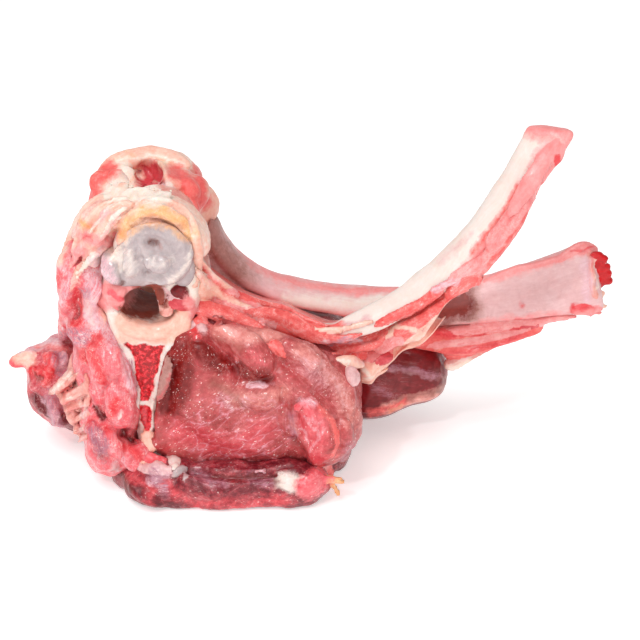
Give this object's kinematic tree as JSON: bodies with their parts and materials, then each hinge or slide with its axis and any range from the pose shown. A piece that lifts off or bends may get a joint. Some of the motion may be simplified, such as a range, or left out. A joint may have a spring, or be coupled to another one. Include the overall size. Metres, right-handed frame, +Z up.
{
  "type": "raw bone-in mutton piece",
  "caption": "Raw bone-in mutton from the loin end: chine bone, curved ribs, eye muscle, cap, fat and flank meat, resting on its cap side.",
  "frame": {"origin": "on the surface that the piece lies on, under the middle of its bounding box", "axes": "+X along the ribs, away from the backbone; +Y along the backbone, from the near cut face to the far one; +Z up from the surface"},
  "size_m": [0.1855, 0.0712, 0.111],
  "materials": {
    "bone": "moist raw bone, satin",
    "cartilage": "wet grey-white cartilage",
    "lean": "wet raw red muscle",
    "pale_lean": "wet raw pink muscle and membrane",
    "fat": "soft cream fat, satin"
  },
  "bodies": {
    "root": {"vertebra_front": "bone", "vertebra_rear": "bone", "disc": "cartilage", "rib_front": "bone", "rib_rear": "bone", "loin_eye": "lean", "cap_muscle": "pale_lean", "near_lean": "pale_lean", "side_lean": "lean", "side_fat": "fat", "chine_fat": "fat", "rib_lean_front": "pale_lean", "rib_lean_rear": "pale_lean", "flank_lean": "lean", "flank_fat": "fat"}
  },
  "joints": []
}
